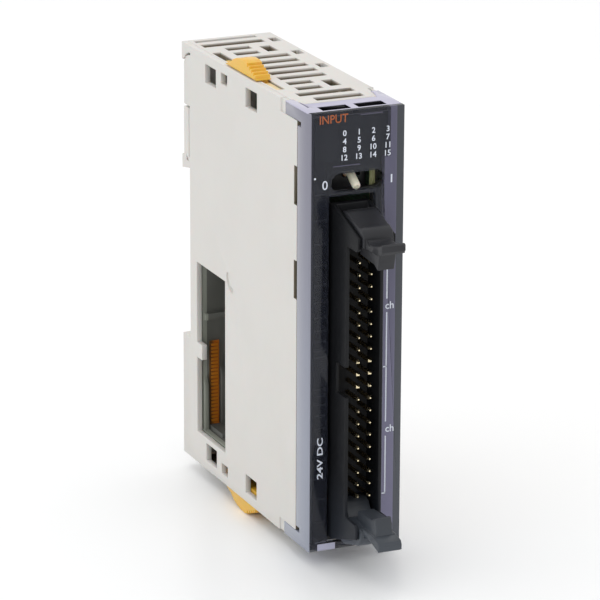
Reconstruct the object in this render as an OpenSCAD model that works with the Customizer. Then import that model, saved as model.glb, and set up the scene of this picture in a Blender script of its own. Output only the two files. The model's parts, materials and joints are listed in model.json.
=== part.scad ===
/* [Housing] */
// Width of the module on its rail, left to right
body_w = 20; // [20:0.5:22]
// Height of the module
body_h = 90; // [90:1:94]
// Depth from the front face to the rear face
body_d = 65; // [65:0.5:67]
// Thickness of the moulded walls
wall = 1.2; // [1:0.1:1.3]
// Width of one cooling slot, front to back
vent_w = 2.5; // [2:0.1:2.8]

/* [Rail] */
// Depth of the recess that the rail sits in
rail_recess = 4; // [3.5:0.1:4.5]
// Height of the rail that the recess takes
rail_h = 35; // [35:0.1:35.5]
// Travel of the rail catch, downwards
catch_travel = 3; // [2.5:0.1:3.2]

/* [Front] */
// Depth of the smoked cover's side walls
cover_d = 6.4; // [6:0.1:7]
// Width of the cut-out around the connector
opening_w = 9.8; // [9.6:0.1:10.2]
// Length of the slot that the selector knob shows through
slot_w = 11.4; // [10:0.1:12]
// Height of the selector slot
slot_h = 3.6; // [3.2:0.1:4]

/* [Connector] */
// Number of pin rows, one above the other
pin_rows = 20; // [16:1:20]
// Distance from one pin to the next
pitch = 2.54; // [2.5:0.01:2.54]
// Sideways place of the connector's middle
conn_x = -1.05; // [-1.15:0.05:-0.95]
// Outer width of the connector
conn_w = 8.05; // [8:0.05:8.2]
// Width of the cavity and of the latch slots
cavity_w = 6.6; // [6.5:0.05:6.7]
// How far the rim stands in front of the cover
rim_out = 6.1; // [5.9:0.1:6.4]
// How far the latch towers stand in front of the cover
tower_out = 11.3; // [11:0.1:11.6]

/* [Latches and sliders] */
// Largest swing of a latch, outwards
latch_swing = 40; // [20:1:40]
// Width of a latch between its two cheeks
latch_w = 6.4; // [6.2:0.05:6.45]
// Travel of a locking slider, rearwards
slider_travel = 5.4; // [4:0.1:5.4]
// Travel of the selector knob, to the right
knob_travel = 2; // [1.5:0.1:2]

/* [Hidden] */
$fn = 48;

housing_grey = [0.86, 0.86, 0.85];
smoke = [0.28, 0.27, 0.33, 0.6];
black = [0.13, 0.13, 0.14];
amber = [0.95, 0.7, 0.2];
gold = [0.85, 0.68, 0.3];
board_green = [0.12, 0.38, 0.2];

// Casing: X left to right, Y front to back from the front face, Z up from the underside
half_w = body_w / 2;
inner_x = half_w - wall;
seat_y = body_d - rail_recess;
rail_z = body_h / 2;
gap = 0.1;                       // seam between two mouldings
over = 0.5;                      // overshoot of a cut past the face it opens

// Rail recess
rail_top = rail_z + rail_h / 2;
rail_low = rail_top - rail_h;
recess_low = 26.8;
recess_high = rail_top + 1.3;
hook_slope = 0.8;                // the recess roof drops this much towards the rear
hook_lip = 1.1;                  // overlap of the fixed hooks and of the catch on the rail's edges
rail_edge = 1.4;                 // room for the thickness of the rail's edge

// Front edge of the casing sides, and the strips of the cover above and below it
edge_y = cover_d;
strip_y = 14.3;
strip_h = 2.7;
tab_y = 12.2;                    // front of the casing's tabs that end the strips
tab_in = 0.3;
roof_y = 8;                      // where the roof begins behind the cover

// Cooling slots
vent_pitch = 4.4;
vent_first = 10.7;
vent_left = -4.3;
vent_right = 5.9;
vent_short = 1.1;                // right end of the short slots
vents = [for (i = [0:12]) [vent_first + i * vent_pitch,
                           i == 1 ? -6.1 : i > 10 ? -7.8 : vent_left,
                           i == 2 || i == 3 || i == 9 || i == 10 ? vent_short : vent_right]];

// Coupling holes in the left side: [rear to front start, length, distance from the end, height]
coupling_holes = [[46.9, 5.6, 2, 3.9], [41.1, 3.2, 1.9, 2.3], [26, 5.7, 2, 4]];
lug_fit = 0.35;
lug_out = 2.2;

// Bus window in the left side
win_y = [42.4, 57.4];
win_z = [7, 44.4];
finger_z = [23.5, 26.8];
finger_y = 54.7;

// Slider track in the roof and in the floor
track_x = [-8.2, -6.4];
track_y = [20.2, 53];
slide_fit = 0.15;
slider_y = [20.4, 47.4];
knob_x = [-9.6, -6.35];
knob_y = [27.2, 42.6];
knob_top = 3.1;
knob_lift = 0.25;                // air between the knob and the roof

// Connector
conn_z = 36.88;                  // height of the connector's middle
cavity_half = 27.95;
conn_half = 34.93;
base_front = 0.5;                // the base plate stands this far in front of the front face
base_back = 2;
conn_in = conn_w / 2;
cavity_in = cavity_w / 2;
pin_t = 0.64;
pin_tip = -6;
pins_x = conn_x + 0.2;            // middle between the two columns of pins
pin_first = conn_z - (pin_rows - 1) * pitch / 2;
key_w = 6.2;
key_depth = 4.3;
pivot = [-3.95, 31.32];           // Y, and height above the connector's middle
trunnion_r = 1;
trunnion_l = 0.4;
trunnion_end = 0.1;              // air at the end of a trunnion
running_fit = 0.05;
opening_z = [1.5, 73.1];

// Selector switch
slot_x = 0.18;
slot_z = 75.7;
knob_at = [-0.1, 0.2, 74.6];      // centre of the peg's front end
knob_r = 0.85;
knob_l = 5;
knob_dome = 0.35;
knob_tilt = 33;
selector_z = [73, 79];

// Main board
board_x = [3.95, 5.15];
board_y = [3, 58.6];
board_z = [3, 87];
board_step = [8.6, 79];          // the upper front corner is cut back to clear the indicators

// Indicators: 4 by 4 lamps, numbered from the upper left
lamp_cols = 4;
lamp_rows = 4;
lamp_x = -2.8;
lamp_z = 85.6;
lamp_dx = 3.08;
lamp_dz = 1.62;
lamp_back = [7.4, 8.4];          // front and back of the indicator board

module on_rail() translate([0, -seat_y, -rail_z]) children();

// A pair of places either side of a middle, and a pair that starts at a place
function about(middle, half) = [middle - half, middle + half];
function from(start, length) = [start, start + length];

// A box between two places on each axis
module span(x, y, z)
    translate([x[0], y[0], z[0]]) cube([x[1] - x[0], y[1] - y[0], z[1] - z[0]]);

// An outline drawn in Y and Z, as thick as the span x
module profile(x)
    translate([x[0], 0, 0]) rotate([90, 0, 90]) linear_extrude(x[1] - x[0]) children();

// The children at the top, and mirrored at the bottom
module both_ends() {
    children();
    translate([0, 0, body_h]) mirror([0, 0, 1]) children();
}

// Outline of the casing's left and right sides
module side_outline()
    polygon([[strip_y, 0], [body_d, 0], [body_d, recess_low], [seat_y, recess_low],
             [seat_y, recess_high], [body_d, recess_high - hook_slope], [body_d, body_h],
             [strip_y, body_h], [strip_y, body_h - strip_h], [edge_y, body_h - strip_h],
             [edge_y, strip_h], [strip_y, strip_h]]);

// The cover's side wall, which fills the casing's front steps
module flank_outline()
    polygon([[0, 0], [tab_y - gap, 0], [tab_y - gap, strip_h - gap], [edge_y - gap, strip_h - gap],
             [edge_y - gap, body_h - strip_h + gap], [tab_y - gap, body_h - strip_h + gap],
             [tab_y - gap, body_h], [0, body_h]]);

// Points of an arc about c, from angle a0 to a1 in n steps
function arc(c, r, a0, a1, n) =
    [for (i = [0:n]) let (a = a0 + (a1 - a0) * i / n) c + r * [cos(a), sin(a)]];

// Side slots and notches of the roof, and the taper where the cover's strips begin
side_slot_x = [2.9, 5.3];
side_slots_y = [[19, 24], [49.8, 54.6]];
notch_x = [7.3, 9.2];
notches_y = [33.5, 45.5, 57.3];
notch_l = 3.2;
strip_root = -7.6;
strip_side = -8.3;
taper_y = 11;

module roof_cuts() {
    cut = [body_h - wall - over, body_h + over];
    for (v = vents) span([v[1], v[2]], [v[0] - vent_w / 2, v[0] + vent_w / 2], cut);
    for (y = side_slots_y) span(side_slot_x, y, cut);
    for (y = notches_y) span(notch_x, from(y, notch_l), cut);
    span(track_x, track_y, cut);
    // front corners, cut back beside the cover's strips
    translate([0, 0, cut[0]]) linear_extrude(cut[1] - cut[0])
        for (s = [0, 1]) mirror([s, 0])
            polygon([[-inner_x - over, roof_y - over], [strip_root, roof_y - over], [strip_side, taper_y],
                     [strip_side, tab_y], [-inner_x - over, tab_y]]);
}

module roof() difference() {
    span([-inner_x, inner_x], [roof_y, body_d], [body_h - wall, body_h]);
    roof_cuts();
}

// Channel that guides the rail catch
catch_w = 3.4;
catch_flange = 4.6;
catch_fit = 0.3;
catch_y = [61.4, 64.7];
catch_mid = 63.5;
flange_z = [4.5, 19.5];
channel_side = 1.5;
hook_w = 4;
hooks_x = [-6.5, 2.5];
channel_floor = 58.9;

module rear_walls() {
    span([-inner_x, inner_x], [body_d - wall, body_d], [recess_high - hook_slope, body_h]);
    span([-inner_x, inner_x], [seat_y - wall, body_d], [recess_high, recess_high + wall]);
    span([-inner_x, inner_x], [seat_y - wall, seat_y], [recess_low - wall, recess_high + wall]);
    for (x = hooks_x) span(from(x, hook_w), [seat_y + rail_edge, body_d - wall],
                               [rail_top - hook_lip, recess_high + wall]);
    span([-inner_x, inner_x], [body_d - wall, body_d], [0, recess_low]);
    span([-inner_x, inner_x], [seat_y - wall, body_d], [recess_low - wall, recess_low]);
    span(about(0, catch_flange + channel_side), [channel_floor, body_d], [0, recess_low]);
}

module catch_channel() {
    span(about(0, catch_flange + catch_fit), [seat_y + 0.1, body_d - wall],
         [wall, recess_low - wall]);
    span(about(0, catch_w + catch_fit), [seat_y + 0.1, body_d + over],
         [-over, recess_low + over]);
}

// Lugs that enter the next module's coupling holes
module coupling_lugs() both_ends() for (h = coupling_holes)
    span([half_w - 0.2, half_w + lug_out], from(h[0] + lug_fit, h[1] - 2 * lug_fit),
         from(body_h - h[2] - h[3] + lug_fit, h[3] - 2 * lug_fit));

guide_t = 0.65;
guide_l = 2.5;
guide_fit = 0.05;
guides_y = [15.5, 56];
plug_fit = [-0.4, 0.4];

module main_housing() color(housing_grey) on_rail() {
    difference() {
        union() {
            difference() {
                profile([inner_x, half_w]) side_outline();
                span([inner_x - over, half_w + over], plug_y + plug_fit, plug_z + plug_fit);
            }
            both_ends() roof();
            rear_walls();
            strip_tab([inner_x, half_w - tab_in]);
        }
        catch_channel();
        both_ends() for (y = notches_y)
            span(notch_x, from(y, notch_l), [body_h - wall - over, body_h + over]);
    }
    coupling_lugs();
    // ribs either side of the main board
    both_ends() for (x = [board_x[0] - guide_t - gap, board_x[1] + guide_fit], y = guides_y)
        span(from(x, guide_t), from(y, guide_l), [board_z[1] - 1, body_h - wall / 2]);
}

module strip_tab(x) both_ends() span(x, [tab_y, strip_y + over], [body_h - strip_h - over, body_h - 0.1]);

// Tongue that stands behind the cover's side wall
tongue_z = [41, 48.8];
tongue_front = 4.4;
tongue_t = 0.9;

// Slits and step of the two rear spring tongues, recesses of the front edge, thumb mark
slit_z = [76.5, 77];
slit_y = 60.9;
bend_at = [60.6, 84.2];
bend_r = [3.7, 4.2];
step_y = 63.9;
step_z = [66, 86.3];
groove_y = [61.1, 61.45];
recess_z = [[51, 58.8], [70.2, 78]];
recess_d = 1.4;
thumb_at = [38.3, 46.1];
thumb_r = 3.4;
thumb_shift = [-0.92, 0.77];
thumb_depth = 0.5;

module side_cover() color(housing_grey) on_rail() difference() {
    union() {
        strip_tab([-half_w + tab_in, -inner_x]);
        span([-inner_x - 0.3, -inner_x + tongue_t], [edge_y + 0.2, edge_y + 2.5], tongue_z);
        span([-inner_x + gap, -inner_x + tongue_t], [tongue_front, edge_y + 1], tongue_z);
        difference() {
            profile([-half_w, -inner_x]) side_outline();
            span([-half_w - over, -inner_x + over], win_y, win_z);
        }
        span([-half_w, -inner_x], [finger_y, win_y[1] + 0.5], finger_z);
    }
    both_ends() for (h = coupling_holes)
        span([-half_w - over, -inner_x + over], [h[0], h[0] + h[1]], [body_h - h[2] - h[3], body_h - h[2]]);
    // relief slits of the two rear tongues
    span([-half_w - over, -inner_x + over], [slit_y, body_d + over], slit_z);
    profile([-half_w - over, -inner_x + over])
        polygon(concat(arc(bend_at, bend_r[1], 25, 90, 8), arc(bend_at, bend_r[0], 90, 25, 8)));
    profile([-half_w - over, -inner_x + over]) polygon([[61.3, 65.1], [62.7, 65.1], [62.7, 66.4]]);
    // two finger recesses in the front edge
    for (z = recess_z) span([-half_w - over, -inner_x + over], [edge_y - over, edge_y + recess_d], z);
    // the rear edge steps in between the slits, and a groove marks the tongue's root
    span([-half_w - over, -inner_x + over], [step_y, body_d + over], step_z);
    span([-half_w - over, -half_w + 0.35], groove_y, [step_z[0], slit_z[0] + gap]);
    // thumb mark beside the window
    profile([-half_w - over, -half_w + thumb_depth])
        polygon(concat(arc(thumb_at, thumb_r, -85, 5, 10),
                       arc(thumb_at + thumb_shift, thumb_r, 0, -80, 10)));
}

module stadium(length, height)
    for (s = [-1, 0, 1]) if (s == 0) square([length - height, height], center = true);
    else translate([s * (length - height) / 2, 0]) circle(d = height);

// A cut through the front, seen from the front: the outline is drawn in X and Z
module front_cut(y, x, z) translate([x, y[1], z]) rotate([90, 0, 0]) linear_extrude(y[1] - y[0]) children();

// Widened root of the cover's strip, seen from above on the left
module gusset()
    polygon([[-inner_x - over, roof_y - 1], [-7.7, roof_y - 1], [-7.7, roof_y + 0.1], [-8.4, 11],
             [-8.4, tab_y - gap], [-inner_x - over, tab_y - gap]]);

// Slots in the cover's top and bottom, and the cut in its side walls below the strips
louvres_x = [[-6.5, -0.5], [1.1, 7.1]];
louvre_y = [1.9, 4.9];
side_cut_y = 4.7;
side_cut_z = 86.4;

module front_cover() color(smoke) on_rail() difference() {
    union() {
        span([-half_w, half_w], [0, wall], [0, body_h]);
        profile([-half_w, -inner_x]) flank_outline();
        profile([inner_x, half_w]) flank_outline();
        both_ends() {
            span([-inner_x, inner_x], [0, roof_y - gap], [body_h - wall, body_h]);
            translate([0, 0, body_h - wall]) linear_extrude(wall) for (s = [0, 1]) mirror([s, 0]) gusset();
        }
    }
    span(about(conn_x, opening_w / 2), [-over, wall + over], opening_z);
    front_cut([-over, wall + over], slot_x, slot_z) stadium(slot_w, slot_h);
    both_ends() {
        for (x = louvres_x) span(x, louvre_y, [body_h - wall - over, body_h + over]);
        translate([0, 0, body_h - wall - over]) linear_extrude(wall + 2 * over)
            polygon([[-8.25, 5.3], [-7.85, 5.3], [-8.15, 11.2]]);
        for (x = [[-half_w - over, -inner_x + over], [inner_x - over, half_w + over]])
            span(x, [side_cut_y, edge_y + over], [side_cut_z, body_h - strip_h + gap]);
    }
}

panel_x = [-8.6, 5.8];
panel_y = [1.5, 2.7];
panel_z = [2.6, 88.6];
cell = [2.1, 1.1];
label_z = [79.9, 88.5];          // the black-printed field around the lamps
label_right = 7.3;
panel_fit = 0.15;                // the panel reaches nearly to the connector's left side

module lamp_grid() for (i = [0:lamp_cols - 1], j = [0:lamp_rows - 1])
    translate([lamp_x + i * lamp_dx, 0, lamp_z - j * lamp_dz]) children();

module front_panel() color(black) on_rail() difference() {
    union() {
        span(panel_x, panel_y, panel_z);
        span([panel_x[0], label_right], panel_y, [label_z[0], panel_z[1]]);
    }
    span([conn_x - conn_in - panel_fit, conn_x + opening_w / 2], panel_y + [-over, over],
         [opening_z[0] - over, opening_z[1]]);
    front_cut(panel_y + [-over, over], slot_x, slot_z) stadium(slot_w, slot_h);
    lamp_grid() translate([-0.7, panel_y[0] - over, -cell[1] / 2]) cube([1.4, 2 + over, cell[1]]);
}

module indicator_label() color([0.1, 0.1, 0.11]) on_rail()
    span([panel_x[0] + 0.2, label_right - gap], [wall + 0.05, panel_y[0] - 0.05], label_z);

module light_guide() color([0.2, 0.2, 0.22]) on_rail() difference() {
    span([lamp_x - 1.7, 7.4], [2.8, 6.4], [lamp_z - 3 * lamp_dz - 0.9, lamp_z + 0.9]);
    lamp_grid() translate([-cell[0] / 2, 2.8 - over, -cell[1] / 2]) cube([cell[0], 4.6, cell[1]]);
}

module indicator_leds() color([0.95, 0.95, 0.9]) on_rail()
    lamp_grid() translate([-0.8, lamp_back[0] - 0.6, -0.4]) cube([1.6, 0.6, 0.8]);

module indicator_board() color(board_green) on_rail() span([-8, 8], lamp_back, [79.2, 88]);

module main_board() color(board_green) on_rail() difference() {
    profile(board_x) polygon([[board_y[0], board_z[0]], [board_y[1], board_z[0]], [board_y[1], board_z[1]],
                              [board_step[0], board_z[1]], [board_step[0], board_step[1]],
                              [board_y[0], board_step[1]]]);
    for (y = [15.4, 55.9], z = [board_z[0] - over, board_z[1] - 1.1])
        span(board_x + [-over, -0.9], [y, y + 2.7], [z, z + 1.1 + over]);
}

// Channel in the switch body for the knob's foot
foot_x = about(knob_at[0], 0.55);
foot_z = [75.6, 78.2];
foot_y = [4.2, 6.2];

module selector_body() color(black) on_rail() difference() {
    span([-3.4, board_x[0]], [4.8, 9], selector_z);
    span(foot_x + [-0.3, knob_travel + 0.3], [4.8 - over, foot_y[1] + 0.2], foot_z + [-0.2, 0.2]);
}

module selector_knob() color([0.93, 0.92, 0.86]) on_rail() {
    span(foot_x, foot_y, foot_z);
    translate(knob_at) rotate([-90 + knob_tilt, 0, 0]) {
        translate([0, 0, knob_dome]) cylinder(r = knob_r, h = knob_l);
        rotate_extrude() intersection() {
            translate([0, knob_dome]) circle(r = knob_r);
            translate([0, -0.2]) square([knob_r, knob_dome + 0.21]);
        }
    }
}

// Side outline of a latch tower's cheeks, above the connector's middle
cheek_front = 30.9;              // height of the cheek's front edge
cheek_back = conn_half - 0.3;
cheek_cut = 0.6;                 // corner cut off the cheek's lower front edge

module cheek_outline()
    polygon([[base_back, cavity_half], [-tower_out + cheek_cut, cavity_half],
             [-tower_out, cavity_half + cheek_cut], [-tower_out, cheek_front], [0, cheek_back],
             [base_back, cheek_back]]);

module towers() for (s = [0, 1]) translate([0, 0, conn_z]) mirror([0, 0, s]) difference() {
    profile(about(conn_x, conn_in)) cheek_outline();
    span(about(conn_x, cavity_in), [-tower_out - over, 0.2], [cavity_half - over, conn_half + over]);
    translate([conn_x - cavity_in - trunnion_l - trunnion_end, pivot[0], pivot[1]]) rotate([0, 90, 0])
        cylinder(r = trunnion_r + running_fit, h = cavity_w + 2 * (trunnion_l + trunnion_end));
}

module connector_shell() color(black) on_rail() {
    towers();
    difference() {
        span(about(conn_x, conn_in), [-rim_out, base_back], about(conn_z, cavity_half));
        span(about(conn_x, cavity_in), [-rim_out - over, -base_front], about(conn_z, cavity_half + over));
        span([conn_x - conn_in - over, conn_x - cavity_in + over], [-rim_out - over, -rim_out + key_depth],
             about(conn_z, key_w / 2));
        // the latch feet turn in these pockets
        for (s = [-1, 1]) translate([0, 0, conn_z + s * (cavity_half - 1)])
            span(about(conn_x, cavity_in), [-base_front - over, 0.2], [-1 - over, 1 + over]);
    }
}

// A square pin with a right-angle tail through the board
module pin(x, bend) {
    span(about(x, pin_t / 2), [pin_tip, bend + pin_t / 2], [-pin_t / 2, pin_t / 2]);
    span([x - pin_t / 2, board_x[1] + 0.6], [bend - pin_t / 2, bend + pin_t / 2], [-pin_t / 2, pin_t / 2]);
}

module connector_pins() color(gold) on_rail() for (i = [0:pin_rows - 1])
    translate([0, 0, pin_first + i * pitch]) {
        pin(pins_x - pitch / 2, 6.1);
        pin(pins_x + pitch / 2, 3.5);
    }

// Latch, drawn with its pivot at Y 0 and Z 0
block_half = latch_w / 2;
block_front = -8.15;
hub_r = 2.95;
corner_r = 2.4;
arm_half = 2.5;
rib_half = 1.75;
foot_half = 2.6;

module latch() {
    profile(about(conn_x, block_half))
        polygon(concat([[0, 3.03], [-5.7, 1.38]],
                       arc([block_front + corner_r, -1.02], corner_r, 92, 180, 8),
                       [[block_front, -2.42], [-2.4, -2.92], [-1.4, -2.92], [0, 0]]));
    translate([conn_x - block_half, 0, 0]) rotate([0, 90, 0]) cylinder(r = hub_r, h = latch_w);
    translate([conn_x - block_half - trunnion_l, 0, 0]) rotate([0, 90, 0])
        cylinder(r = trunnion_r, h = latch_w + 2 * trunnion_l);
    // finger grip, its rib, and the foot that lifts the plug
    profile(about(conn_x, arm_half))
        polygon([[-7.4, -0.72], [-9, -1.02], [-10.8, -1.12], [-12.8, -0.62], [-14.5, -0.02], [-15, -0.32],
                 [-15, -1.42], [-14.6, -2.02], [-12.4, -2.62], [-7.4, -2.62]]);
    profile(about(conn_x, rib_half))
        polygon([[-3.4, -2.32], [-12.4, -2.12], [-12, -4.32], [-11.6, -5.92], [-11.2, -6.02], [-9.8, -5.22],
                 [-3.4, -4.92]]);
    profile(about(conn_x, foot_half))
        polygon([[-1.4, -2.32], [0.6, -5.12], [1.6, -5.62], [2.7, -5.82], [2.9, -5.42], [2.7, -1.82]]);
}

module top_latch() translate([0, pivot[0], conn_z + pivot[1]]) latch();

module upper_latch() color(black) on_rail() top_latch();

module lower_latch() color(black) on_rail() translate([0, 0, 2 * conn_z]) mirror([0, 0, 1]) top_latch();

// Locking slider, drawn in place in the roof
teeth = 5;
tooth = 1.02;
tooth_drop = 0.4;
tooth_cut = 0.75;                // depth of the groove under a tooth
tooth_back = 32.3;               // rear end of the first tooth
crown = 0.25;                    // the first tooth is this far below the slider's top
dimple_r = 0.4;
dimple_y = 36.2;
catch_plate_x = [-8.65, -5.9];
catch_plate_y = [24, 45];

module slider() {
    base = body_h + knob_lift;
    top = body_h + knob_top;
    ridges = [for (i = [0:teeth - 1]) let (y = tooth_back - i * tooth, z = top - crown - i * tooth_drop)
                 each [[y, z], [y - 0.55, z], [y - 0.6, z - tooth_cut], [y - 0.95, z - tooth_cut]]];
    difference() {
        profile(knob_x) polygon(concat([[knob_y[0], base], [knob_y[1], base], [knob_y[1], base + 0.2],
                                        [40.4, base + 0.85], [38.9, base + 1.85], [36.9, base + 2.5]],
                                       [[35, top], [32.9, top]], ridges));
        translate([(knob_x[0] + knob_x[1]) / 2, dimple_y, top - 1]) cylinder(r = dimple_r, h = 2);
    }
    // blade in the track, neck under the knob, and the plate that holds it below the roof
    span(track_x + [slide_fit, -slide_fit], slider_y, [body_h - wall - 0.25, body_h - 0.4]);
    span(track_x + [slide_fit, -slide_fit], knob_y + [1, -1], [body_h - 0.5, base + 0.1]);
    span(catch_plate_x, catch_plate_y, [body_h - wall - 1.4, body_h - wall - 0.2]);
}

module top_slider() color(amber) on_rail() slider();

module bottom_slider() color(amber) on_rail() translate([0, 0, body_h]) mirror([0, 0, 1]) slider();

// Bus connectors: a socket behind the window, and a plug that leaves the right side
socket_y = [42.9, 58.7];
socket_z = [6.4, 45];
mouth_y = [43.5, 57.7];
mouth_z = [7.2, 44.2];
mouth_depth = 6.4;
plug_y = [44.9, 56.2];
plug_z = [8.8, 42.6];
plug_out = 4.4;
contact_pitch = 1.2;
plug_skirt_y = [43.4, 57.7];
tongue_y = [49.4, 51.7];
ledge_z = [31.4, 32.8];
sill_y = 50.5;

module bus_socket_body() color([0.27, 0.27, 0.27]) on_rail() {
    difference() {
        span([-inner_x + gap, board_x[0]], socket_y, socket_z);
        span([-inner_x, -inner_x + mouth_depth], mouth_y, mouth_z);
    }
    // ledge half way up the rear wall, and a sill along the floor
    span([-inner_x + 0.6, -inner_x + mouth_depth], [mouth_y[1] - 0.8, mouth_y[1]], ledge_z);
    span([-inner_x + 1.6, -inner_x + mouth_depth], [sill_y, mouth_y[1]], [mouth_z[0], mouth_z[0] + 0.9]);
    // ribs either side of the contact strip
    for (rib = [[-8.5, 1.1, 17], [-4.7, 2.1, 19]])
        profile(from(rib[0], rib[1]))
            polygon([[mouth_y[1], mouth_z[0]], [mouth_y[1] - 0.9, mouth_z[0]], [mouth_y[1] - 0.9, rib[2]],
                     [mouth_y[1], rib[2] + 1.8]]);
}

// Amber strips that carry the contacts, on the front and rear walls of the mouth
strip_x = [-7.1, -5];
strip_z = [8.1, 26.6];
strip_t = 0.35;
finger_t = 0.12;
finger_pitch = 0.8;
finger_w = 0.5;

module bus_socket_strips() color([0.85, 0.5, 0.1]) on_rail() {
    span(strip_x, [mouth_y[1] - strip_t, mouth_y[1]], strip_z);
    span(strip_x, [mouth_y[0], mouth_y[0] + strip_t], strip_z);
}

module bus_socket_contacts() color(gold) on_rail() for (i = [0:21]) {
    z = strip_z[0] + 0.6 + i * finger_pitch;
    span(strip_x + [0.3, -0.3], [mouth_y[1] - strip_t - finger_t, mouth_y[1] - strip_t], [z, z + finger_w]);
    span(strip_x + [0.3, -0.3], [mouth_y[0] + strip_t, mouth_y[0] + strip_t + finger_t], [z, z + finger_w]);
}

module bus_plug_body() color([0.2, 0.2, 0.21]) on_rail() difference() {
    union() {
        span([board_x[1], inner_x - gap], plug_skirt_y, mouth_z);
        span([inner_x - gap - 1, half_w + plug_out], plug_y, plug_z);
    }
    // hollow nose with a middle tongue
    for (y = [[46.1, tongue_y[0]], [tongue_y[1], 55]])
        span([half_w - 1, half_w + plug_out + over], y, plug_z + [1.2, -1.2]);
}

module bus_plug_contacts() color(gold) on_rail()
    for (i = [0:25], y = [tongue_y[0] - 0.3, tongue_y[1]])
        translate([half_w, y, plug_z[0] + 1.6 + i * contact_pitch]) cube([plug_out - 0.6, 0.3, 0.6]);

module rail_catch() color([0.35, 0.35, 0.36]) on_rail() difference() {
    union() {
        span(about(0, catch_w), catch_y, [0.6, rail_low - 0.6]);
        span(about(0, catch_w), [seat_y + rail_edge, catch_y[1]], [rail_low - 0.7, rail_low + hook_lip]);
        span(about(0, catch_flange), [catch_y[0], catch_mid], flange_z);
    }
    // slot for a screwdriver tip
    span(about(0, 2), [62.6, catch_y[1] + over], [2.4, 4.2]);
}

// Chips and small parts on the board's left face: places in Y and Z, sizes along Y and Z
chip_h = 2;
lead_t = 0.2;
lead_l = 0.8;
coupler_y = [14, 22];
group_z = [13, 27, 41, 55];
coupler_size = [4.4, 10.3];
array_size = [2.2, 4.4];
array_y = 9;
array_pitch = 5.2;
small_can = [3.2, 1.8];
round_can_d = 5;
round_can_h = 5.6;

module chip(y, z, size, leads) {
    span([board_x[0] - chip_h, board_x[0] - lead_t], from(y, size[0]), from(z, size[1]));
    for (i = [0:leads - 1])
        span([board_x[0] - lead_t, board_x[0]], from(y - lead_l, size[0] + 2 * lead_l),
             from(z + 0.5 + i * (size[1] - 1) / leads, 0.5));
}

module photocouplers() color(black) on_rail() for (y = coupler_y, z = group_z) chip(y, z, coupler_size, 8);

module bus_interface_chip() color(black) on_rail() chip(33, 60, [8, 10], 10);

module resistor_arrays() color([0.2, 0.2, 0.22]) on_rail() for (z = group_z, k = [0, 1])
    span([board_x[0] - 0.7, board_x[0]], from(array_y, array_size[0]),
         from(z + k * array_pitch, array_size[1]));

module filter_capacitors() color([0.75, 0.7, 0.6]) on_rail() {
    for (z = [14, 18, 22, 26])
        span([board_x[0] - 1.4, board_x[0]], from(33, small_can[0]), from(z, small_can[1]));
    for (z = [60, 67]) translate([board_x[0], 47, z]) rotate([0, -90, 0])
        cylinder(d = round_can_d, h = round_can_h);
}

main_housing();
side_cover();
front_cover();
front_panel();
indicator_label();
light_guide();
indicator_leds();
indicator_board();
main_board();
selector_body();
selector_knob();
connector_shell();
connector_pins();
upper_latch();
lower_latch();
top_slider();
bottom_slider();
bus_socket_body();
bus_socket_strips();
bus_socket_contacts();
bus_plug_body();
bus_plug_contacts();
rail_catch();
photocouplers();
bus_interface_chip();
resistor_arrays();
filter_capacitors();
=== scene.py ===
"""A narrow rail-mounted input module: light grey case, smoked front cover, 40-way header with two latches."""
import json
import math

import bmesh
import bpy
from mathutils import Matrix, Quaternion, Vector


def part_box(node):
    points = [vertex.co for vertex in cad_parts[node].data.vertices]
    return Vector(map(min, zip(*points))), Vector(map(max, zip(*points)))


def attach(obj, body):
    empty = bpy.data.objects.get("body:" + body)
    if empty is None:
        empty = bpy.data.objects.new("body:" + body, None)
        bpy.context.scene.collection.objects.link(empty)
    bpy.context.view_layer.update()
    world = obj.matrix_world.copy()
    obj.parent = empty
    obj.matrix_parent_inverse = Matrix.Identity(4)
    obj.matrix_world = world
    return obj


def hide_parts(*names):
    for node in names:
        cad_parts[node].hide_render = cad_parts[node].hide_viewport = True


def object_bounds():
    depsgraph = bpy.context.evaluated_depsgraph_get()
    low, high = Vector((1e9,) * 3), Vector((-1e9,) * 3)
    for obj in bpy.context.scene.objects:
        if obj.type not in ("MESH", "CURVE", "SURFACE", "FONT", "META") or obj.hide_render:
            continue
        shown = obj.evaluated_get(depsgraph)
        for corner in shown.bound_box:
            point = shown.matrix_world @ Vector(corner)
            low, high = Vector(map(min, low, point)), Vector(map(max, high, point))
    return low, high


MM = 0.001
JOIN = 0.002 * MM           # corners closer than this become one
INK = 0.015 * MM            # thickness of a printed line
LAMP_STEP = (3.08, 1.62)    # millimetres from one lamp to the next, across and down
BOARD_EDGE = 0.9            # a face whose normal has less than this across the board is an edge

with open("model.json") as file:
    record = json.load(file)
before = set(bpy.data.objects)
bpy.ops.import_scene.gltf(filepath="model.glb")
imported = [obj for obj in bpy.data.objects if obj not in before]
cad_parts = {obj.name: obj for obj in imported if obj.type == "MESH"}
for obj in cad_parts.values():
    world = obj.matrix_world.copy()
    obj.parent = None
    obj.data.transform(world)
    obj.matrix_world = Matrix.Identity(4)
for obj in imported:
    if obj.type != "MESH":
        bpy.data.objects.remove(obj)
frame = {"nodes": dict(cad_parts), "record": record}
cad_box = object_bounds()
NODES = frame["nodes"]
BODY_OF = {node: body for body, members in frame["record"]["behaviour"]["bodies"].items()
           for node in members}

# Limits of the shaded regions, in the part's frame
INNER_X, INNER_Z = 8.75 * MM, 43.85 * MM            # half width and half height inside the case
INNER_REAR = -1.1 * MM                              # inner face of the wall behind the rail
SLOT_X, SLOT_Z, SLOT_REAR = 8.7 * MM, 43.7 * MM, 2.7 * MM
RECESS_X, RECESS_Y = (-9.95 * MM, -8.7 * MM), (-54.9 * MM, -53.1 * MM)


# ---------------------------------------------------------------- camera, light and floor

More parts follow.
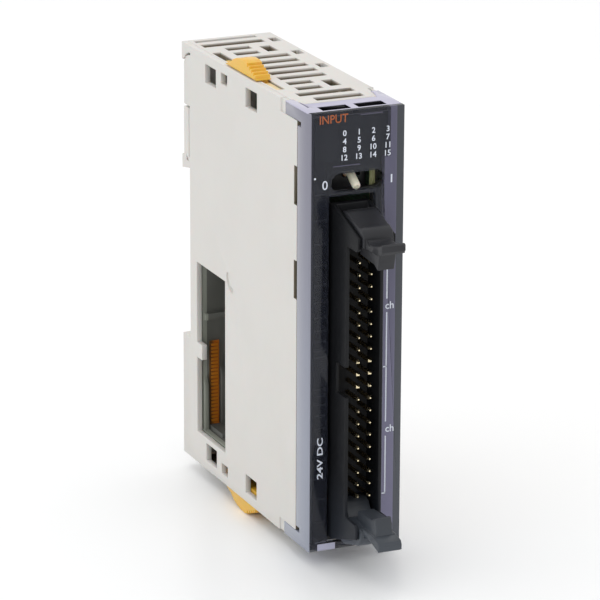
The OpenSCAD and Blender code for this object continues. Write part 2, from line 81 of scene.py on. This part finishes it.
def set_up_camera():
    """Looks down on the left front corner from a little over three quarters of a metre away."""
    azimuth, elevation, roll = (math.radians(a) for a in (-24.18, 17.64, 0.25))
    distance = 768.3 * MM
    target = Vector((2.49, -28.5, -3.27)) * MM
    back = Vector((math.sin(azimuth) * math.cos(elevation), -math.cos(azimuth) * math.cos(elevation),
                   math.sin(elevation)))
    lens = bpy.data.cameras.new("camera")
    lens.lens = 225.65
    lens.sensor_width = 36
    lens.clip_start, lens.clip_end = 0.01, 20
    camera = bpy.data.objects.new("camera", lens)
    camera.rotation_mode = "QUATERNION"
    camera.location = target + back * distance
    camera.rotation_quaternion = (-back).to_track_quat("-Z", "Y") @ Quaternion((0, 0, 1), roll)
    bpy.context.scene.collection.objects.link(camera)
    bpy.context.scene.camera = camera


def softbox(name, place, aim, size, power, colour=(1, 1, 1)):
    """A rectangular lamp that faces its aim."""
    light = bpy.data.lights.new(name, "AREA")
    light.shape = "RECTANGLE"
    light.size, light.size_y = size
    light.energy = power
    light.color = colour
    lamp = bpy.data.objects.new(name, light)
    lamp.location = place
    lamp.rotation_mode = "QUATERNION"
    lamp.rotation_quaternion = (Vector(aim) - Vector(place)).to_track_quat("-Z", "Y")
    bpy.context.scene.collection.objects.link(lamp)


def set_up_light():
    """A white surround, one softbox overhead and a cooler one on the left."""
    world = bpy.data.worlds.new("studio")
    world.use_nodes = True
    sky = world.node_tree.nodes["Background"]
    sky.inputs["Color"].default_value = (1.0, 1.0, 1.0, 1)
    sky.inputs["Strength"].default_value = 0.95
    bpy.context.scene.world = world
    bpy.context.scene.view_settings.view_transform = "Standard"
    centre = (0, -0.028, 0)
    softbox("overhead softbox", (-0.15, 0.15, 0.75), centre, (0.7, 0.7), 1.2)
    softbox("left softbox", (-0.7, -0.25, 0.3), centre, (0.5, 0.7), 0.55, (0.7, 0.88, 1.0))


def lay_floor():
    """A pale plain floor just under the part."""
    gap, half_width = 0.05 * MM, 3
    level = Matrix.Translation((0, 0, cad_box[0].z - gap))
    bm = bmesh.new()
    bmesh.ops.create_grid(bm, x_segments=1, y_segments=1, size=half_width, matrix=level)
    floor = mesh_object("floor", bm)
    paint = Paint("floor paint", roughness=0.35)
    cloud = paint.noise(6, detail=2)
    paint.feed("Base Color", paint.blend(cloud, (0.955, 0.955, 0.955), (0.97, 0.97, 0.97)))
    floor.data.materials.append(paint.material)


# ---------------------------------------------------------------- materials

class Wire:
    """An output socket with arithmetic: each operation adds one Math node."""

    def __init__(self, paint, socket):
        self.paint = paint
        self.socket = socket

    def maths(self, operation, a, b):
        return self.paint.node("ShaderNodeMath", {"operation": operation}, {0: a, 1: b})

    def __add__(self, other):
        return self.maths("ADD", self, other)

    __radd__ = __add__

    def __sub__(self, other):
        return self.maths("SUBTRACT", self, other)

    def __rsub__(self, other):
        return self.maths("SUBTRACT", other, self)

    def __mul__(self, other):
        return self.maths("MULTIPLY", self, other)

    __rmul__ = __mul__

    def above(self, level):
        return self.maths("GREATER_THAN", self, level)

    def below(self, level):
        return self.maths("LESS_THAN", self, level)

    def size(self):
        return self.maths("ABSOLUTE", self, 0.0)


class Paint:
    """A material with one Principled shader, built from values and wires."""

    def __init__(self, name, **constants):
        self.material = bpy.data.materials.new(name)
        self.material.use_nodes = True
        self.tree = self.material.node_tree
        self.shader = self.tree.nodes["Principled BSDF"]
        for socket, value in constants.items():
            self.feed(socket.replace("_", " ").title().replace("Ior", "IOR"), value)
        self.place = self.node("ShaderNodeTexCoord", out="Object")

    def connect(self, socket, value):
        if isinstance(value, Wire):
            self.tree.links.new(value.socket, socket)
        elif isinstance(value, (tuple, list)) and len(value) == 3 and len(socket.default_value) == 4:
            socket.default_value = (*value, 1)
        else:
            socket.default_value = value

    def feed(self, socket, value):
        self.connect(self.shader.inputs[socket], value)

    def node(self, kind, settings=None, sockets=None, out=0):
        """Adds a shader node and gives the wire that leaves it."""
        made = self.tree.nodes.new(kind)
        for key, value in (settings or {}).items():
            setattr(made, key, value)
        for key, value in (sockets or {}).items():
            self.connect(made.inputs[key], value)
        return Wire(self, made.outputs[out])

    def noise(self, scale, detail=2.0, roughness=0.5, place=None):
        """Grain from 0 to 1; scale is in cells a metre."""
        sockets = {"Vector": place or self.place, "Scale": scale, "Detail": detail, "Roughness": roughness}
        return self.node("ShaderNodeTexNoise", None, sockets, "Fac")

    def stretched(self, x, y, z):
        """The place, stretched so that a pattern runs longer along the axes with small factors."""
        return self.node("ShaderNodeVectorMath", {"operation": "MULTIPLY"}, {0: self.place, 1: (x, y, z)})

    def axis(self, letter):
        return self.node("ShaderNodeSeparateXYZ", None, {0: self.place}, letter)

    def ramp(self, value, low, high):
        """0 below low, 1 above high, smooth between."""
        return self.node("ShaderNodeMapRange", {"interpolation_type": "SMOOTHSTEP"},
                         {"Value": value, "From Min": low, "From Max": high})

    def blend(self, factor, first, second):
        """Mixes two colours: the first where the factor is 0, the second where it is 1."""
        made = self.tree.nodes.new("ShaderNodeMix")
        made.data_type = "RGBA"
        self.connect(made.inputs[0], factor)
        self.connect(made.inputs[6], first)
        self.connect(made.inputs[7], second)
        return Wire(self, made.outputs[2])

    def bump(self, height, depth, strength=1.0):
        """depth is the real height of the relief in metres."""
        self.feed("Normal", self.node("ShaderNodeBump", None, {"Height": height, "Distance": depth,
                                                               "Strength": strength}, "Normal"))


def moulded(name, colour, shade, roughness, grain=0.25, relief=0.006, regions=(), **constants):
    """Moulded plastic: a spark-eroded grain, faint flow marks and a slightly uneven gloss.

    Grain and relief are the width and height of the grain in millimetres. Each region is a
    function that gives a mask, and the colour painted there as light or shade."""
    paint = Paint(name, **constants)
    fine = paint.noise(1 / (grain * MM), detail=3)
    flow = paint.noise(60, detail=4, roughness=0.6)
    tone = paint.blend(paint.ramp(flow, 0.35, 0.65), colour, shade)
    for region, light_or_shade in regions:
        tone = paint.blend(region(paint), tone, light_or_shade)
    paint.feed("Base Color", tone)
    paint.feed("Roughness", roughness - 0.06 + 0.08 * fine + 0.06 * flow)
    paint.bump(fine, relief * MM, 0.8)
    return paint


def inside_case(paint):
    """The inner faces of the case, which stay in shade."""
    x, y, z = (paint.axis(letter) for letter in "XYZ")
    return x.size().below(INNER_X) * z.size().below(INNER_Z) * y.below(INNER_REAR)


def slot_walls(paint):
    """The thickness of the roof and floor, painted in shade that grows darker towards the inside."""
    x, y, z = (paint.axis(letter) for letter in "XYZ")
    shade = z.size().above(SLOT_Z) * (1 - paint.ramp(z.size(), 44.45 * MM, 44.98 * MM))
    return x.size().below(SLOT_X) * y.below(SLOT_REAR) * shade


def front_recesses(paint):
    """The ends of the two recesses behind the cover's left side, painted in shade."""
    x, y = paint.axis("X"), paint.axis("Y")
    within_x = x.above(RECESS_X[0]) * x.below(RECESS_X[1])
    return within_x * y.above(RECESS_Y[0]) * y.below(RECESS_Y[1])


def lower_end(paint):
    """The lower end of the header, painted paler as a painted light from the white floor below."""
    return 1 - paint.ramp(paint.axis("Z"), -44 * MM, -24 * MM)


def jamb(paint):
    """The outermost millimetre of the bus socket, painted lighter as a painted light where light through the
    window reaches.
    """
    return paint.axis("X").below(-7.6 * MM)


def slider_tongue(paint):
    """The thin front end of a slider, painted paler as a painted light for the light that passes through it.
    """
    return paint.axis("Y").below(-33.9 * MM)


def strip_shade(paint):
    """The outer side of the contact strips, in the shade of the window."""
    return 1 - paint.ramp(paint.axis("X"), -6.9 * MM, -5.8 * MM)


def smoked_cover():
    """Smoked moulding: blacked out from behind over the panel, clearer down the right and round the edges.
    Light and shade are painted in: sides and clear strip lighter towards the foot, a dark band at the right
    edge, a pale roof and foot, and near-black louvres.
    """
    low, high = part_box("front_cover")
    smoke = Paint("smoked plastic", ior=1.5)
    x, y, z = (smoke.axis(letter) for letter in "XYZ")
    # rise grades the painted light: the sides and the clear strip are painted lighter towards the foot.
    rise = smoke.ramp(z, low.z, high.z)
    streak = smoke.noise(1, detail=3, place=smoke.stretched(900, 900, 22))
    front = y.below(low.y + 1.3 * MM) * x.above(low.x + 0.2 * MM) * x.below(high.x - 0.05 * MM)
    right_edge = 5.8 * MM + 1.2 * MM * z.above(high.z - 10 * MM)
    # The foot under the opening is kept clear of the blacking and painted pale, a painted highlight along the
    # lower edge.
    foot = z.below(low.z + 1.45 * MM) * x.above(-8.1 * MM) * x.below(-4.2 * MM)
    blacked = front * (right_edge - x).above(0) * (1 - foot)
    clear = front * (x - right_edge).above(0) * x.below(high.x - 1.6 * MM)
    # A band along the right edge is painted dark, a painted shade where the right flank is seen edge-on.
    edge_shade = front * x.above(high.x - 1.6 * MM)
    # The walls of the louvres are painted near black, a painted shade.
    louvre_shade = (z.size().below(high.z - 0.1 * MM) * y.above(low.y + 1.8 * MM) * y.below(low.y + 4.95 * MM)
               * x.above(-6.7 * MM) * x.below(7.2 * MM))
    # The sides are painted lighter towards the foot as painted light; the clear strip is painted lighter
    # still, a painted light for the light behind it.
    side = smoke.blend(rise, (0.33, 0.35, 0.42), (0.24, 0.235, 0.29))
    clear_tint_and_backlight = smoke.blend(clear, side, smoke.blend(rise, (0.26, 0.25, 0.38), (0.13, 0.125, 0.195)))
    edge_shaded = smoke.blend(edge_shade, clear_tint_and_backlight, smoke.blend(rise, (0.075, 0.082, 0.10), (0.045, 0.05, 0.06)))
    # The roof is painted pale, a painted light on the top of the cover.
    roof = z.above(high.z - 0.2 * MM) * y.above(low.y + 1.2 * MM)
    roof_and_foot_light = smoke.blend(roof, smoke.blend(foot, edge_shaded, (0.50, 0.50, 0.64)), (0.52, 0.50, 0.64))
    painted = smoke.blend(blacked, roof_and_foot_light, (0.019, 0.022, 0.034))
    shaded = smoke.blend(louvre_shade, painted, (0.004, 0.004, 0.006))
    smoke.feed("Base Color", smoke.blend(0.12 * streak, shaded, (0.02, 0.02, 0.03)))
    smoke.feed("Alpha", 0.93 - 0.45 * blacked - 0.2 * clear + 0.05 * streak)
    smoke.feed("Roughness", 0.08 + 0.05 * smoke.noise(160, detail=3))
    smoke.bump(smoke.noise(90, detail=2), 0.01 * MM, 0.5)
    return smoke


def make_materials():
    """Every finish of the part, by its plain name."""
    # The housing's regions are painted shade: the walls of the slots, the inside of the case and the ends of
    # the front recesses.
    housing = moulded("housing plastic", (0.672, 0.646, 0.610), (0.658, 0.633, 0.597), 0.5,
                      regions=((slot_walls, (0.235, 0.19, 0.135)), (inside_case, (0.16, 0.13, 0.095)),
                               (front_recesses, (0.17, 0.145, 0.10))),
                      subsurface_weight=0.1, subsurface_scale=0.5 * MM)

    smoke = smoked_cover()
    # The cover ridges are painted paler than the cover, a painted highlight along them.
    ridge = moulded("cover ridge", (0.055, 0.052, 0.085), (0.07, 0.066, 0.10), 0.2, relief=0.001)

    panel = moulded("panel plastic", (0.006, 0.006, 0.008), (0.009, 0.009, 0.010), 0.45, grain=0.2,
                    relief=0.001)
    # The panel ribs are painted paler than the panel, a painted highlight along their raised edges.
    rib = moulded("panel rib", (0.10, 0.105, 0.12), (0.14, 0.145, 0.16), 0.4, relief=0.001)

    film = Paint("label film", coat_weight=0.4)
    fibre = film.noise(2400, detail=2)
    film.feed("Base Color", film.blend(film.noise(90), (0.009, 0.014, 0.016), (0.014, 0.019, 0.021)))
    film.feed("Roughness", 0.28 + 0.1 * fibre)
    film.bump(fibre, 0.002 * MM)

    # The connector is painted paler towards its lower end, a painted light from the white floor below.
    connector = moulded("connector plastic", (0.006, 0.0065, 0.008), (0.009, 0.0095, 0.011), 0.45, grain=0.16,
                        relief=0.003, regions=((lower_end, (0.020, 0.023, 0.030)),), specular_ior_level=0.2)

    # The latches are painted paler towards their lower end, a painted light from the white floor below.
    latch = moulded("latch plastic", (0.012, 0.0125, 0.016), (0.016, 0.0165, 0.02), 0.42, grain=0.2,
                    relief=0.003, regions=((lower_end, (0.055, 0.065, 0.08)),), specular_ior_level=0.45)

    gold = Paint("gold plating", metallic=1.0)
    wear = gold.noise(420, detail=2)
    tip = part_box("connector_pins")[0].y
    # The shanks behind the tips are painted dark, a painted shade for the dark cavity around them.
    shank_shade = gold.ramp(gold.axis("Y"), tip + 0.3 * MM, tip + 1.4 * MM)
    gold.feed("Base Color", gold.blend(shank_shade, gold.blend(wear, (0.98, 0.86, 0.60), (0.95, 0.80, 0.48)),
                                       (0.24, 0.165, 0.06)))
    gold.feed("Roughness", 0.22 + 0.1 * wear)
    gold.bump(gold.noise(2500, detail=2), 0.001 * MM, 0.4)

    bronze = Paint("strip contacts", metallic=0.6)
    bronze.feed("Base Color", bronze.blend(bronze.noise(500), (0.80, 0.30, 0.03), (0.66, 0.23, 0.02)))
    bronze.feed("Roughness", 0.38 + 0.1 * bronze.noise(900))

    # The thin front end of each slider is painted paler, a painted light for the light that passes through
    # it.
    amber = moulded("amber plastic", (0.79, 0.46, 0.040), (0.75, 0.42, 0.034), 0.38, grain=0.3, relief=0.005,
                    regions=((slider_tongue, (0.80, 0.60, 0.32)),),
                    subsurface_weight=0.25, subsurface_scale=1.2 * MM, coat_weight=0.15)

    strip = moulded("strip plastic", (0.55, 0.15, 0.006), (0.48, 0.13, 0.005), 0.3, grain=0.2, relief=0.003,
                    regions=((strip_shade, (0.13, 0.055, 0.010)),),
                    subsurface_weight=0.3, subsurface_scale=1.0 * MM)

    ivory = moulded("ivory plastic", (0.80, 0.76, 0.62), (0.76, 0.71, 0.56), 0.4, grain=0.2, relief=0.004,
                    subsurface_weight=0.2, subsurface_scale=0.8 * MM)

    board = Paint("circuit board", coat_weight=0.6, coat_roughness=0.15)
    across = board.node("ShaderNodeCombineXYZ", None, {"X": board.axis("Y"), "Y": board.axis("Z")})
    plan = board.node("ShaderNodeVectorMath", {"operation": "ADD"}, {0: across, 1: (0.5, 0.5, 0)})
    tracks = board.node("ShaderNodeTexBrick", {"offset": 0.37, "squash": 1.0},
                        {"Vector": plan, "Scale": 1.0, "Brick Width": 5.2 * MM, "Row Height": 0.8 * MM,
                         "Mortar Size": 0.13 * MM, "Mortar Smooth": 0.2}, "Fac")
    board.feed("Base Color", board.blend(tracks, (0.007, 0.03, 0.012), (0.018, 0.07, 0.028)))
    board.feed("Roughness", 0.35 + 0.1 * board.noise(800))
    board.bump(tracks, 0.03 * MM)

    laminate = Paint("board edge")
    layers = laminate.noise(1, detail=3, place=laminate.stretched(5200, 900, 900))
    laminate.feed("Base Color", laminate.blend(laminate.ramp(layers, 0.3, 0.7), (0.17, 0.19, 0.07),
                                               (0.42, 0.41, 0.22)))
    laminate.feed("Roughness", 0.7 + 0.2 * layers)
    laminate.bump(layers, 0.04 * MM)

    resin = moulded("chip resin", (0.012, 0.012, 0.013), (0.02, 0.02, 0.02), 0.55, grain=0.12)
    # The outermost millimetre of the bus socket is painted lighter, a painted light where light through the
    # window falls.
    bus = moulded("bus plastic", (0.088, 0.089, 0.078), (0.102, 0.102, 0.09), 0.5, grain=0.25, relief=0.003,
                  regions=((jamb, (0.25, 0.26, 0.22)),))

    can = Paint("capacitor can", metallic=1.0)
    brushed = can.noise(1, detail=3, place=can.stretched(9000, 600, 600))
    can.feed("Base Color", can.blend(brushed, (0.62, 0.62, 0.6), (0.72, 0.71, 0.7)))
    can.feed("Roughness", 0.25 + 0.15 * brushed)

    lens = Paint("lamp lens", coat_weight=0.5)
    lens.feed("Base Color", lens.blend(lens.noise(3000), (0.32, 0.34, 0.31), (0.24, 0.26, 0.24)))
    lens.feed("Roughness", 0.25 + 0.1 * lens.noise(1500))

    return {"housing": housing, "smoke": smoke, "ridge": ridge, "panel": panel, "rib": rib, "film": film,
            "connector": connector, "latch": latch, "gold": gold, "bronze": bronze, "amber": amber,
            "strip": strip, "ivory": ivory, "board": board, "laminate": laminate, "resin": resin, "bus": bus,
            "can": can, "lens": lens,
            "white ink": ink("white ink", (0.78, 0.82, 0.90), (0.66, 0.70, 0.80)),
            "orange ink": ink("orange ink", (0.40, 0.10, 0.022), (0.30, 0.07, 0.016))}


def ink(name, colour, thin):
    """Screen-printed ink: slightly thin and rough in places."""
    paint = Paint(name)
    patches = paint.noise(5000, detail=3)
    paint.feed("Base Color", paint.blend(paint.ramp(patches, 0.4, 0.7), colour, thin))
    paint.feed("Roughness", 0.45 + 0.2 * patches)
    paint.bump(patches, 0.004 * MM)
    return paint


# ---------------------------------------------------------------- pieces

def mesh_object(name, bm, smooth=False):
    """Turns a finished bmesh into a piece of the scene."""
    mesh = bpy.data.meshes.new(name)
    bm.to_mesh(mesh)
    bm.free()
    mesh.shade_smooth() if smooth else mesh.shade_flat()
    piece = bpy.data.objects.new(name, mesh)
    bpy.context.scene.collection.objects.link(piece)
    return piece


def dress(piece, paint, body="module"):
    """Gives a new piece its finish and the body that it moves with."""
    piece.data.materials.append(paint.material)
    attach(piece, body)
    return piece


def soften(piece, edge, segments=2):
    """Rounds the edges of a piece that turn by 30 degrees or more, by a real radius in millimetres."""
    rounding = piece.modifiers.new("rounded edges", "BEVEL")
    rounding.width = edge * MM
    rounding.segments = segments
    rounding.limit_method = "ANGLE"
    rounding.angle_limit = math.radians(30)
    rounding.use_clamp_overlap = False
    rounding.harden_normals = True


def joined_copy(node, name, smooth=False):
    """A copy of a CAD piece whose faces share their corners."""
    bm = bmesh.new()
    bm.from_mesh(NODES[node].data)
    bmesh.ops.remove_doubles(bm, verts=bm.verts, dist=JOIN)
    piece = mesh_object(name, bm, smooth)
    piece.data.materials.clear()
    return piece


def moulding(node, edge, paint, segments=2):
    """A joined copy of a CAD piece with rounded edges, which stands for it."""
    piece = joined_copy(node, node + "_moulded", smooth=True)
    soften(piece, edge, segments)
    dress(piece, paint, BODY_OF[node])
    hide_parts(node)
    return piece


def repaint(node, paint):
    """Gives a CAD piece its finish; its shape stays as it is."""
    NODES[node].data.materials.clear()
    NODES[node].data.materials.append(paint.material)


def block(bm, low, high):
    """Adds a box between two corners given in metres."""
    low, high = Vector(low), Vector(high)
    bmesh.ops.create_cube(bm, size=1, matrix=Matrix.Translation((low + high) / 2) @
                          Matrix.Diagonal((*(high - low), 1)))


def make_pins(paint):
    """Forty square pins in two rows, with tapered tips and tails bent over to the board."""
    low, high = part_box("connector_pins")
    thick, pitch, rows, taper, tip_share = 0.64 * MM, 2.54 * MM, 20, 0.5 * MM, 0.42
    left_bend, right_bend = low.y + 12.1 * MM, low.y + 9.5 * MM
    columns = {low.x + thick / 2: left_bend, low.x + thick / 2 + pitch: right_bend}
    bm = bmesh.new()
    for row in range(rows):
        z = low.z + thick / 2 + row * pitch
        for x, bend in columns.items():
            start = low.y + taper
            middle = Matrix.Translation((x, (start + bend + thick / 2) / 2, z))
            shape = Matrix.Diagonal((thick, bend + thick / 2 - start, thick, 1))
            corners = bmesh.ops.create_cube(bm, size=1, matrix=middle @ shape)["verts"]
            end = min({f for v in corners for f in v.link_faces}, key=lambda f: f.calc_center_median().y)
            nose = bmesh.ops.extrude_discrete_faces(bm, faces=[end])["faces"][0]
            narrow = Matrix.Diagonal((tip_share, 1, tip_share, 1))
            bmesh.ops.transform(bm, verts=nose.verts, matrix=Matrix.Translation((x, low.y, z)) @ narrow
                                @ Matrix.Translation((-x, -start, -z)))
            block(bm, (x, bend - thick / 2, z - thick / 2), (high.x, bend + thick / 2, z + thick / 2))
    pins = dress(mesh_object("header_pins", bm), paint)
    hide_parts("connector_pins")


def print_text(name, words, place, height, paint, weight=0.0, turn=0.0, width=None):
    """Prints words on the front of the cover; place is the middle of the words, in X and Z."""
    curve = bpy.data.curves.new(name, "FONT")
    curve.body = words
    curve.align_x = "CENTER"
    curve.align_y = "CENTER"
    curve.offset = weight
    curve.resolution_u = 4
    carrier = bpy.data.objects.new(name, curve)
    bpy.context.scene.collection.objects.link(carrier)
    mesh = bpy.data.meshes.new_from_object(carrier.evaluated_get(bpy.context.evaluated_depsgraph_get()))
    bpy.data.objects.remove(carrier)
    bm = bmesh.new()
    bm.from_mesh(mesh)
    bmesh.ops.remove_doubles(bm, verts=bm.verts, dist=1e-5)
    xs = [v.co.x for v in bm.verts]
    ys = [v.co.y for v in bm.verts]
    size = height / (max(ys) - min(ys))
    stretch = width / (max(xs) - min(xs)) if width else size
    middle = Vector(((max(xs) + min(xs)) / 2, (max(ys) + min(ys)) / 2, 0))
    stand = (Matrix.Translation((place[0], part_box("front_cover")[0].y, place[1]))
             @ Matrix.Rotation(turn, 4, "Y") @ Matrix.Rotation(math.radians(90), 4, "X")
             @ Matrix.Diagonal((stretch, size, 1, 1)) @ Matrix.Translation(-middle))
    bmesh.ops.transform(bm, matrix=stand, verts=bm.verts)
    raised = bmesh.ops.extrude_face_region(bm, geom=bm.faces[:])["geom"]
    bmesh.ops.translate(bm, vec=(0, -INK, 0), verts=[g for g in raised if isinstance(g, bmesh.types.BMVert)])
    bmesh.ops.recalc_face_normals(bm, faces=bm.faces)
    return dress(mesh_object(name, bm), paint)


def make_print(inks):
    """Numbers, words and the bracket printed on the cover."""
    low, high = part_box("front_cover")
    front = low.y
    middle_x = (low.x + high.x) / 2
    white, orange = inks

    def at(x, z):
        """A place on the cover: millimetres right of its middle and up from its foot."""
        return middle_x + x * MM, low.z + z * MM

    for lamp in range(16):
        place = at(-2.8 + LAMP_STEP[0] * (lamp % 4), 85.6 - LAMP_STEP[1] * (lamp // 4))
        print_text(f"lamp_number_{lamp}", str(lamp), place, 1.15 * MM, white, weight=0.012)
    print_text("type_word", "INPUT", at(-5.1, 88.65), 1.7 * MM, orange, weight=0.008,
               width=6 * MM)
    print_text("position_0", "0", at(-6.92, 75.6), 1.8 * MM, white, weight=0.005)
    print_text("position_1", "1", at(7.3, 75.5), 1.65 * MM, white, weight=0.02)
    print_text("supply_rating", "24V DC", at(-7.66, 19.6), 1.25 * MM, white, weight=0.02,
               turn=math.radians(-90), width=8.6 * MM)
    print_text("upper_channel", "ch", at(7.2, 49.6), 1.5 * MM, white, weight=0.01)
    print_text("lower_channel", "ch", at(7.5, 23.9), 1.5 * MM, white, weight=0.01)

    bm = bmesh.new()
    line, line_x, tick_x, dot = 0.26, 6.6, 5.93, 0.22 * MM
    for top, foot in ((63.6, 51.0), (48.2, 36.95), (36.95, 25.4), (22.4, 10.3)):
        x, z = at(line_x, foot)
        block(bm, (x - line / 2 * MM, front - INK, z), (x + line / 2 * MM, front, at(0, top)[1]))
    for level in (63.6, 36.95, 10.3):
        x, z = at(tick_x, level)
        block(bm, (x, front - INK, z - line / 2 * MM),
              (at(line_x + line / 2, 0)[0], front, z + line / 2 * MM))
    x, z = at(-9.05, 77.1)
    bmesh.ops.create_cone(bm, cap_ends=True, segments=16, radius1=dot, radius2=dot, depth=INK,
                          matrix=Matrix.Translation((x, front - INK / 2, z))
                          @ Matrix.Rotation(math.radians(90), 4, "X"))
    dress(mesh_object("group_bracket", bm), white)


def make_panel_ribs(paint):
    """Raised lines down the left of the panel; they stand further apart away from the middle. Their paler
    paint is a painted highlight.
    """
    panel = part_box("front_panel")[0]
    header_low, header_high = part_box("connector_shell")
    middle = (header_low.z + header_high.z) / 2
    bm = bmesh.new()
    for step in range(11):
        away = (3.3 + 1.2 * step + 0.212 * step * step) * MM
        for z in (middle + away, middle - away):
            for left, right, height, half in ((0.2, 2.5, 0.22, 0.12), (2.3, 2.7, 0.25, 0.25)):
                block(bm, (panel.x + left * MM, panel.y - height * MM, z - half * MM),
                      (panel.x + right * MM, panel.y + 0.02 * MM, z + half * MM))
    dress(mesh_object("panel_ribs", bm), paint)


def make_cover_ridges(paint):
    """Two low ridges across the upper part of the cover, painted paler as painted highlights."""
    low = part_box("front_cover")[0]
    half = 0.12
    bm = bmesh.new()
    for left, right, z in ((-5.25, 0.5, 79.15), (0.5, 5.3, 89.0)):
        block(bm, (left * MM, low.y - 0.08 * MM, low.z + (z - half) * MM),
              (right * MM, low.y + 0.05 * MM, low.z + (z + half) * MM))
    dress(mesh_object("cover_ridges", bm), paint)


def make_lamp_lenses(paint):
    """A clear lens in each of the sixteen windows of the panel."""
    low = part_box("indicator_leds")[0]
    panel_low, panel_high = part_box("front_panel")
    front, half_w, half_h = panel_low.y + 0.3 * MM, 0.68 * MM, 0.5 * MM
    bm = bmesh.new()
    for column in range(4):
        for row in range(4):
            x = low.x + 0.8 * MM + column * LAMP_STEP[0] * MM
            z = low.z + 0.4 * MM + row * LAMP_STEP[1] * MM
            block(bm, (x - half_w, front, z - half_h), (x + half_w, panel_high.y, z + half_h))
    lenses = dress(mesh_object("lamp_lenses", bm), paint)
    soften(lenses, 0.12)


def make_boards(paints):
    """Both boards: green faces and a bare laminate edge."""
    for node in ("main_board", "indicator_board"):
        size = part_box(node)[1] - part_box(node)[0]
        thin = min(range(3), key=lambda axis: size[axis])
        piece = joined_copy(node, node + "_laminated")
        dress(piece, paints["board"], BODY_OF[node])
        piece.data.materials.append(paints["laminate"].material)
        for face in piece.data.polygons:
            face.material_index = 0 if abs(face.normal[thin]) > BOARD_EDGE else 1
        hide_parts(node)


def make_mouldings(paints):
    """Every moulded piece, with the radius of its edges in millimetres."""
    moulding("main_housing", 0.16, paints["housing"])
    moulding("side_cover", 0.16, paints["housing"])
    moulding("front_cover", 0.15, paints["smoke"], segments=3)
    moulding("front_panel", 0.1, paints["panel"])
    moulding("connector_shell", 0.22, paints["connector"], segments=3)
    moulding("upper_latch", 0.2, paints["latch"], segments=3)
    moulding("lower_latch", 0.2, paints["latch"], segments=3)
    moulding("top_slider", 0.08, paints["amber"], segments=3)
    moulding("bottom_slider", 0.08, paints["amber"], segments=3)
    moulding("selector_knob", 0.12, paints["ivory"], segments=3)
    moulding("selector_body", 0.1, paints["panel"])
    moulding("bus_socket_body", 0.12, paints["bus"])
    moulding("bus_plug_body", 0.2, paints["bus"], segments=3)
    moulding("rail_catch", 0.25, paints["bus"], segments=3)


# Finishes of the pieces that are shown just as the CAD draws them
PLAIN = {"indicator_label": "film", "light_guide": "panel", "indicator_leds": "lens",
         "bus_socket_strips": "strip", "bus_socket_contacts": "bronze", "bus_plug_contacts": "gold",
         "photocouplers": "resin", "bus_interface_chip": "resin", "resistor_arrays": "resin",
         "filter_capacitors": "can"}


def main():
    set_up_camera()
    set_up_light()
    lay_floor()
    paints = make_materials()
    make_mouldings(paints)
    make_boards(paints)
    make_pins(paints["gold"])
    make_panel_ribs(paints["rib"])
    make_cover_ridges(paints["ridge"])
    make_lamp_lenses(paints["lens"])
    make_print((paints["white ink"], paints["orange ink"]))
    for node, paint in PLAIN.items():
        repaint(node, paints[paint])


main()
